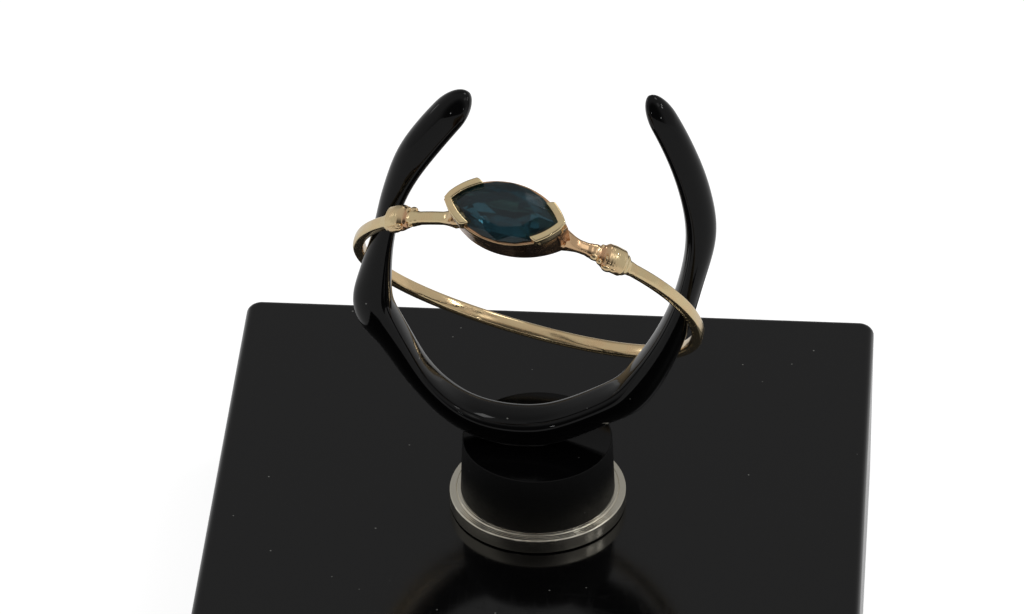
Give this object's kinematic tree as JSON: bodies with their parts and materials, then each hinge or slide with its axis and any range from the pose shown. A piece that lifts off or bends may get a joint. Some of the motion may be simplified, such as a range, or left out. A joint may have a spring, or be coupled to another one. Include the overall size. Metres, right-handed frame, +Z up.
{
  "type": "marquise stacking ring on a crescent stand",
  "caption": "Slim yellow-gold stacking ring with a marquise blue stone in V prongs, hung on a glossy black crescent stand with a square base.",
  "frame": {"origin": "centre of the underside of the square base block", "axes": "+Z up, +X to the right seen from the front, where the stone faces"},
  "size_m": [0.035, 0.035, 0.0363],
  "materials": {
    "yellow_gold": "polished pale yellow gold with coppery warmth in the recesses and fine wear",
    "blue_stone": "polished deep teal-blue cut stone",
    "black_gloss": "black glossy acrylic with a little dust and a few fine scratches",
    "pale_brass": "pale gold plate, satin with fine turning lines"
  },
  "bodies": {
    "root": {"gold_ring": "yellow_gold", "marquise_stone": "blue_stone", "crescent_holder": "black_gloss", "holder_post": "black_gloss", "collar": "pale_brass", "base_block": "black_gloss"}
  },
  "joints": []
}
